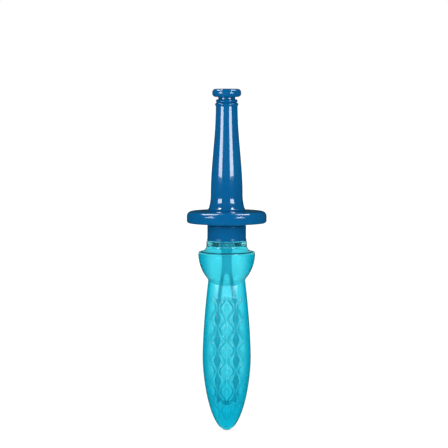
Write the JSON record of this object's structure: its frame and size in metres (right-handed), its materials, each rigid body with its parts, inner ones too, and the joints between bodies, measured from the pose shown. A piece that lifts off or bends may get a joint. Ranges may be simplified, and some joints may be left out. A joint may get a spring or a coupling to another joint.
{
  "type": "bubble wand",
  "caption": "Long bubble wand: a blue grip with a round guard and screw cap carries a ridged loop, sheathed in a translucent leaf-shaped bottle for the solution.",
  "frame": {"origin": "tip of the sheath on the long axis", "axes": "+Z along the long axis from the sheath's tip to the pommel, +X across the broad face, -Y out of the front"},
  "size_m": [0.0758, 0.0758, 0.3254],
  "materials": {
    "sheath_plastic": "clear aqua, glossy, blow moulded",
    "handle_plastic": "opaque blue, glossy, injection moulded",
    "wand_plastic": "opaque pale aqua, satin, injection moulded",
    "seal_foam": "matt white foam"
  },
  "bodies": {
    "sheath": {"sheath": "sheath_plastic"},
    "seal": {"seal_ring": "seal_foam"},
    "wand": {"screw_cap": "handle_plastic", "guard": "handle_plastic", "grip": "handle_plastic", "pommel": "handle_plastic", "loop_wand": "wand_plastic"}
  },
  "joints": [
    {"name": "draw", "type": "slide", "parent": "sheath", "child": "seal", "axis": [0, 0, 1], "range_m": [0, 0.18]},
    {"name": "unscrew", "type": "hinge", "parent": "seal", "child": "wand", "pos_m": [0, 0, 0.192], "axis": [0, 0, 1], "range_deg": [0, 360]}
  ]
}
